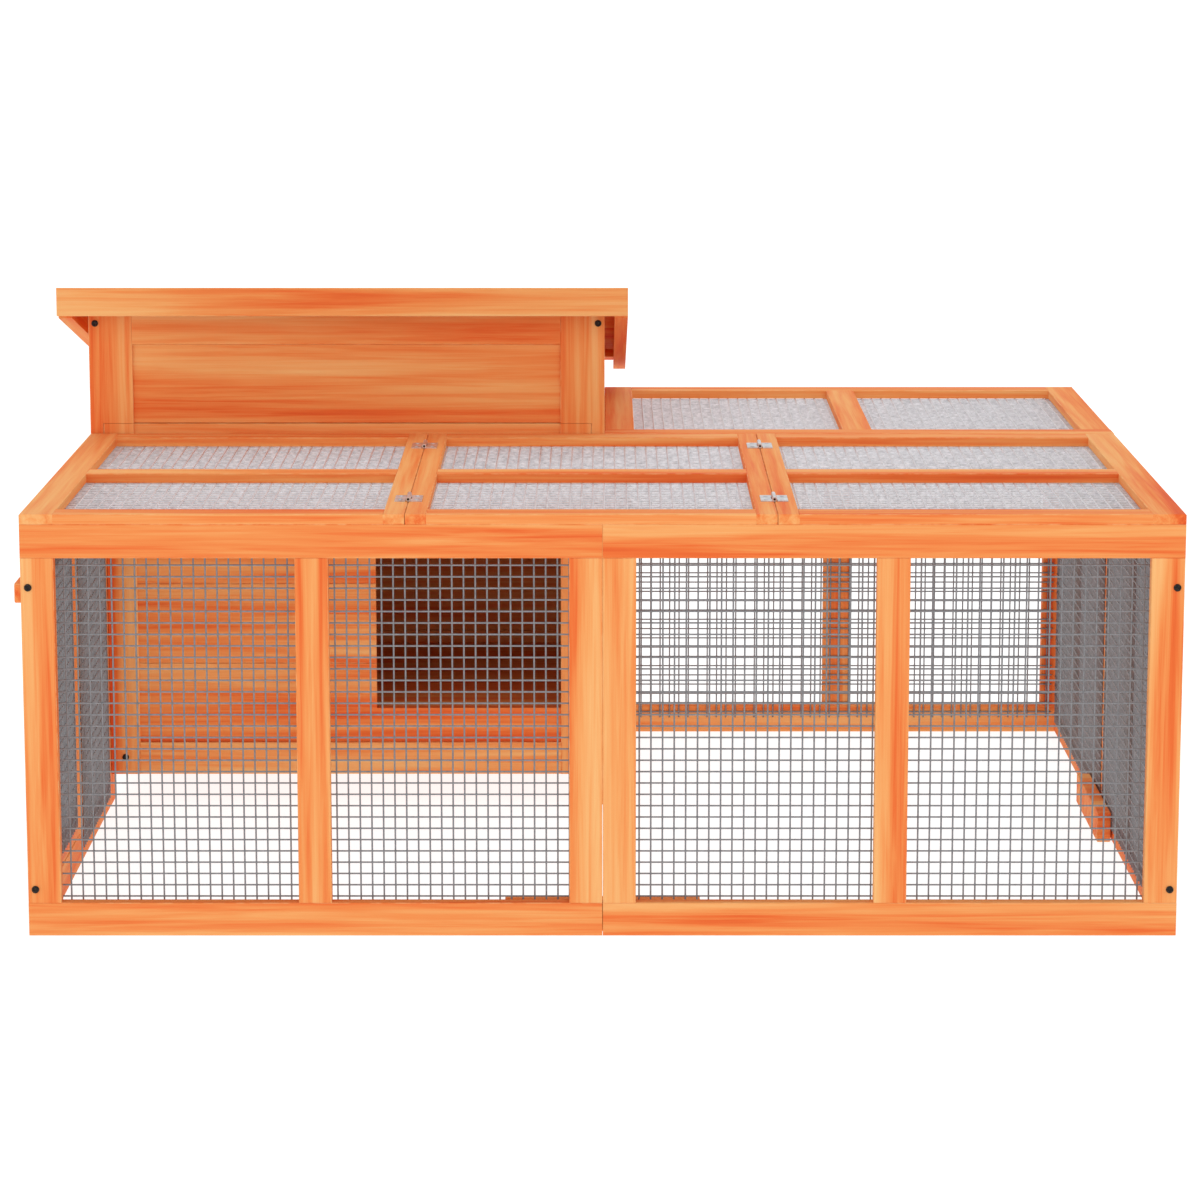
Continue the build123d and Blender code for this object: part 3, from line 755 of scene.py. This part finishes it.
def screwSurface(screw, style):
    # one closed skin from the middle of the head to the tip: rings of radius r(t) at height
    # h(t); on the head h = crown (1 - (r/R)^2), less a recess: a cross where |x| or |y| is
    # under its arm width, deepest in the middle, or a hexagon socket with a level bottom,
    # where the distance along each of three directions 60 degrees apart is under its reach
    around = headGrid["around"]
    angle = np.arange(around) / around * 2 * math.pi
    wide, tall, shank = screw["headRadius"], screw["head"], screw["shankRadius"]
    share = np.linspace(headGrid["innermost"], 1.0, headGrid["outward"])
    tipRadius = shank * headGrid["tipShare"]
    radius = np.concatenate([wide * share, [wide, shank, shank, tipRadius]])
    rim = tall * (1 - style["crown"])
    top = rim + tall * style["crown"] * (1 - share**2)
    height = np.concatenate([top, [0.0, 0.0, tall * 2 - screw["long"], tall - screw["long"]]])
    x = radius[:, None] * np.cos(angle)
    y = radius[:, None] * np.sin(angle)
    z = np.repeat(height[:, None], around, axis=1)
    rows = len(share)
    headX, headY = x[:rows], y[:rows]
    if style["armWidth"]:
        arms = np.minimum(np.abs(headX), np.abs(headY)) < wide * style["armWidth"]
        fade = np.clip(2 - 2 * np.hypot(headX, headY) / (wide * style["reach"]), 0, 1)
        z[:rows] -= np.where(arms, tall * style["deep"] * fade, 0.0)
    else:
        turns = np.array([0.0, math.pi / 3, 2 * math.pi / 3])[:, None, None]
        across = np.abs(headX * np.cos(turns) + headY * np.sin(turns)).max(axis=0)
        inside = across < wide * style["reach"]
        z[:rows] = np.where(inside, tall * (1 - style["deep"]), z[:rows])
    axis = screw["axis"]
    side = np.cross(axis, [0.0, 0.0, 1.0] if abs(axis[2]) < 0.9 else [1.0, 0.0, 0.0])
    side /= np.linalg.norm(side)
    other = np.cross(axis, side)
    base = screw["foot"] + axis * (screw["long"] - tall)
    points = base + x[..., None] * side + y[..., None] * other + z[..., None] * axis
    ringCount = len(radius)
    row = np.arange(ringCount - 1)[:, None] * around
    step = np.arange(around)[None]
    after = (step + 1) % around
    faces = np.stack([row + step, row + around + step, row + around + after, row + after], axis=-1)
    # the first ring closes on one corner in the middle of the head, the last on the tip
    headMiddle = points[0].mean(axis=0)
    tip = points[-1].mean(axis=0)
    flat = np.vstack([points.reshape(-1, 3), headMiddle, tip])
    headCorner = ringCount * around
    last = headCorner - around
    pairs = list(zip(step[0].tolist(), after[0].tolist()))
    crownFan = [(headCorner, a, b) for a, b in pairs]
    tipFan = [(headCorner + 1, last + b, last + a) for a, b in pairs]
    return flat, faces.reshape(-1, 4).tolist() + crownFan + tipFan


screwSets = {
    "frameBolts": ("frame_bolts", "frame", "blackened_steel"),
    "turnButtonScrew": ("turn_button_screw", "frame", "blackened_steel"),
    "fixedHingeScrews": ("fixed_hinge_screws", "frame", "zinc_plate"),
    "leftLidHingeScrews": ("left_lid_hinge_screws", "left_lid", "zinc_plate"),
    "rightLidHingeScrews": ("right_lid_hinge_screws", "right_lid", "zinc_plate"),
    "sideDoorHingeScrews": ("side_door_hinge_screws", "side_door", "zinc_plate"),
    "roofHingeScrews": ("roof_hinge_screws", "roof", "zinc_plate"),
}


def makeScrews(finishes):
    # every screw is read from its plain one, and one set's skins are joined into one piece
    for name, (part, body, slotName) in screwSets.items():
        points, faces, count = [], [], 0
        for solid in solidsOf(part):
            skin, skinFaces = screwSurface(readScrew(solid), screwHeads[slotName])
            points.append(skin)
            faces += [tuple(count + corner for corner in face) for face in skinFaces]
            count += len(skin)
        skins = np.vstack(points)
        addSurface(name, skins, faces, finishes[slotName], body, [part], smooth=True)
    print("screws:", len(screwSets), "sets with recessed heads")


hingeParts = [
    "fixed_hinge_leaves", "left_lid_hinge_leaves", "right_lid_hinge_leaves",
    "side_door_hinge_leaves", "roof_hinge_leaves",
]


def finishMetal():
    # plated hinge leaves on dark pins, then the screws in the same two finishes
    finishes = {
        "zinc_plate": platedMaterial("zincPlate"),
        "blackened_steel": blackenedMaterial("blackenedSteel"),
    }
    for name in hingeParts:
        finishNode(name, finishes["zinc_plate"])
    finishNode("hinge_pins", finishes["blackened_steel"])
    makeScrews(finishes)


setCamera()
setLights()
makeFloor()
finishWood()
makeWires()
finishMetal()
